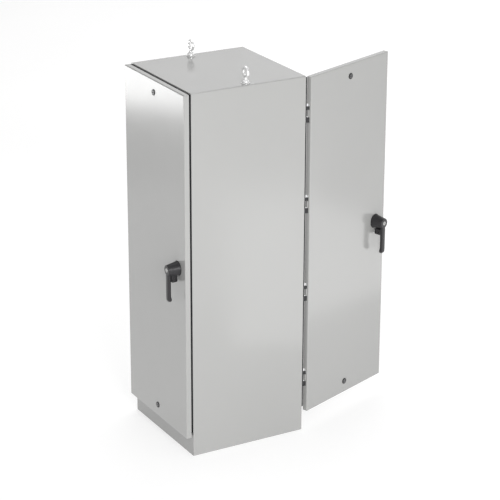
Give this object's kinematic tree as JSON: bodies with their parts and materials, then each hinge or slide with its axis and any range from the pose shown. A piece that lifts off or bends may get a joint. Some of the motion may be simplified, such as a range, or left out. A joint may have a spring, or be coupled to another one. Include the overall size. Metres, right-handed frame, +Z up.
{
  "type": "automatic transfer switch",
  "caption": "Free-standing dual-access steel cabinet with front and rear doors, three-point latches, lifting eyes and a transfer mechanism with bus bars inside.",
  "frame": {"origin": "on the floor at the centre of the cabinet body's footprint", "axes": "+Z up, front door towards -Y, rear door towards +Y, +X to the right seen from the front"},
  "size_m": [0.6205, 1.2971, 1.911],
  "materials": {
    "painted_steel": "light grey semi-gloss powder coat",
    "galvanised_steel": "zinc plated sheet",
    "plated_eye_steel": "bright zinc plated",
    "fastener_steel": "zinc plated",
    "gasket_foam": "closed-cell foam",
    "handle_black": "satin charcoal powder coat on a die casting",
    "lock_steel": "satin nickel",
    "latch_head": "dark satin",
    "hinge_black": "black powder coat",
    "copper": "bare copper, lightly oxidised",
    "lug_aluminium": "tin-plated aluminium",
    "insulator_red": "moulded polyester",
    "switch_plastic": "glass-filled moulding",
    "chute_plastic": "moulding with steel plates",
    "control_plastic": "moulded case",
    "window_clear": "clear",
    "button_green": "moulded",
    "button_red": "moulded",
    "duct_grey": "PVC",
    "coil_enamel": "varnished winding and laminated core",
    "relay_clear": "translucent cover",
    "panel_white": "white polyester paint",
    "grip_red": "moulded grip",
    "pocket_grey": "moulded"
  },
  "bodies": {
    "cabinet": {"body_wrap": "painted_steel", "front_opening_frame": "painted_steel", "rear_opening_frame": "painted_steel", "floor_pan": "painted_steel", "plinth_panels": "painted_steel", "lifting_eyes": "plated_eye_steel", "frame_seals": "gasket_foam", "hinge_body_leaves": "hinge_black", "hinge_pins": "fastener_steel", "panel_rails": "galvanised_steel", "mounting_panel": "panel_white", "panel_screws": "fastener_steel", "switch_base": "switch_plastic", "arc_chutes": "chute_plastic", "switch_side_frames": "galvanised_steel", "operator_coil": "coil_enamel", "bus_sources": "copper", "bus_load": "copper", "bus_insulators": "insulator_red", "bus_bolts": "fastener_steel", "cable_lugs": "lug_aluminium", "neutral_bar": "copper", "ground_bar": "copper", "current_transformers": "switch_plastic", "controller_housing": "control_plastic", "controller_window": "window_clear", "control_transformer": "coil_enamel", "fuse_blocks": "control_plastic", "control_relays": "relay_clear", "wiring_ducts": "duct_grey"},
    "transfer_shaft": {"contact_shaft": "fastener_steel", "manual_handle": "grip_red"},
    "plunger": {"operator_plunger": "fastener_steel"},
    "test_button": {"test_button": "button_green"},
    "reset_button": {"reset_button": "button_red"},
    "front_door": {"front_door_panel": "painted_steel", "front_door_gasket": "gasket_foam", "front_door_brackets": "painted_steel", "front_door_hinge_leaves": "painted_steel", "front_handle_base": "handle_black", "front_document_pocket": "pocket_grey"},
    "front_lever": {"front_handle_lever": "handle_black", "front_latch_cam": "fastener_steel"},
    "front_key": {"front_key_lock": "lock_steel"},
    "front_upper_rod": {"front_upper_rod": "fastener_steel"},
    "front_lower_rod": {"front_lower_rod": "fastener_steel"},
    "front_top_latch": {"front_top_latch": "latch_head"},
    "front_bottom_latch": {"front_bottom_latch": "latch_head"},
    "rear_door": {"rear_door_panel": "painted_steel", "rear_door_gasket": "gasket_foam", "rear_door_brackets": "painted_steel", "rear_door_hinge_leaves": "painted_steel", "rear_handle_base": "handle_black"},
    "rear_lever": {"rear_handle_lever": "handle_black", "rear_latch_cam": "fastener_steel"},
    "rear_key": {"rear_key_lock": "lock_steel"},
    "rear_upper_rod": {"rear_upper_rod": "fastener_steel"},
    "rear_lower_rod": {"rear_lower_rod": "fastener_steel"},
    "rear_top_latch": {"rear_top_latch": "latch_head"},
    "rear_bottom_latch": {"rear_bottom_latch": "latch_head"}
  },
  "joints": [
    {"name": "front_door_hinge", "type": "hinge", "parent": "cabinet", "child": "front_door", "pos_m": [-0.301, -0.3255, 0.961], "axis": [0, 0, -1], "range_deg": [0, 120]},
    {"name": "front_handle_turn", "type": "hinge", "parent": "front_door", "child": "front_lever", "pos_m": [0.2283, -0.341, 0.961], "axis": [0, 1, 0], "range_deg": [0, 90]},
    {"name": "front_key_turn", "type": "hinge", "parent": "front_lever", "child": "front_key", "pos_m": [0.2283, -0.395, 0.961], "axis": [0, 1, 0], "range_deg": [0, 90]},
    {"name": "front_upper_rod_slide", "type": "slide", "parent": "front_door", "child": "front_upper_rod", "axis": [0, 0, 1], "range_m": [0, 0.03535]},
    {"name": "front_lower_rod_slide", "type": "slide", "parent": "front_door", "child": "front_lower_rod", "axis": [0, 0, -1], "range_m": [0, 0.03535]},
    {"name": "front_bottom_latch_turn", "type": "hinge", "parent": "front_door", "child": "front_bottom_latch", "pos_m": [0, -0.341, 0.159], "axis": [0, 1, 0], "range_deg": [0, 90]},
    {"name": "front_top_latch_turn", "type": "hinge", "parent": "front_door", "child": "front_top_latch", "pos_m": [0, -0.341, 1.7632], "axis": [0, -1, 0], "range_deg": [0, 90]},
    {"name": "rear_door_hinge", "type": "hinge", "parent": "cabinet", "child": "rear_door", "pos_m": [0.301, 0.3255, 0.961], "axis": [0, 0, -1], "range_deg": [-69.4, 50.6]},
    {"name": "rear_handle_turn", "type": "hinge", "parent": "rear_door", "child": "rear_lever", "pos_m": [0.12928, 0.82641, 0.961], "axis": [-0.9361, -0.3518, 0], "range_deg": [0, 90]},
    {"name": "rear_key_turn", "type": "hinge", "parent": "rear_lever", "child": "rear_key", "pos_m": [0.17983, 0.84541, 0.961], "axis": [-0.9361, -0.3518, 0], "range_deg": [0, 90]},
    {"name": "rear_upper_rod_slide", "type": "slide", "parent": "rear_door", "child": "rear_upper_rod", "axis": [0, 0, 1], "range_m": [0, 0.03535]},
    {"name": "rear_lower_rod_slide", "type": "slide", "parent": "rear_door", "child": "rear_lower_rod", "axis": [0, 0, -1], "range_m": [0, 0.03535]},
    {"name": "rear_bottom_latch_turn", "type": "hinge", "parent": "rear_door", "child": "rear_bottom_latch", "pos_m": [0.20961, 0.61271, 0.159], "axis": [-0.9361, -0.3518, 0], "range_deg": [0, 90]},
    {"name": "rear_top_latch_turn", "type": "hinge", "parent": "rear_door", "child": "rear_top_latch", "pos_m": [0.20961, 0.61271, 1.7632], "axis": [0.9361, 0.3518, 0], "range_deg": [0, 90]},
    {"name": "transfer_turn", "type": "hinge", "parent": "cabinet", "child": "transfer_shaft", "pos_m": [0, -0.075, 1.07], "axis": [-1, 0, 0], "range_deg": [0, 40]},
    {"name": "plunger_slide", "type": "slide", "parent": "cabinet", "child": "plunger", "axis": [0, 0, 1], "range_m": [0, 0.02052]},
    {"name": "test_button_press", "type": "slide", "parent": "cabinet", "child": "test_button", "axis": [0, 1, 0], "range_m": [0, 0.003], "stiffness_N_per_m": 300, "springref_m": -0.0005},
    {"name": "reset_button_press", "type": "slide", "parent": "cabinet", "child": "reset_button", "axis": [0, 1, 0], "range_m": [0, 0.003], "stiffness_N_per_m": 300, "springref_m": -0.0005}
  ],
  "couplings": [
    {"joint": "front_upper_rod_slide", "follows": "front_handle_turn", "m_per_rad": 0.022508},
    {"joint": "front_lower_rod_slide", "follows": "front_handle_turn", "m_per_rad": 0.022508},
    {"joint": "rear_upper_rod_slide", "follows": "rear_handle_turn", "m_per_rad": 0.022508},
    {"joint": "rear_lower_rod_slide", "follows": "rear_handle_turn", "m_per_rad": 0.022508},
    {"joint": "plunger_slide", "follows": "transfer_turn", "m_per_rad": 0.029395}
  ]
}
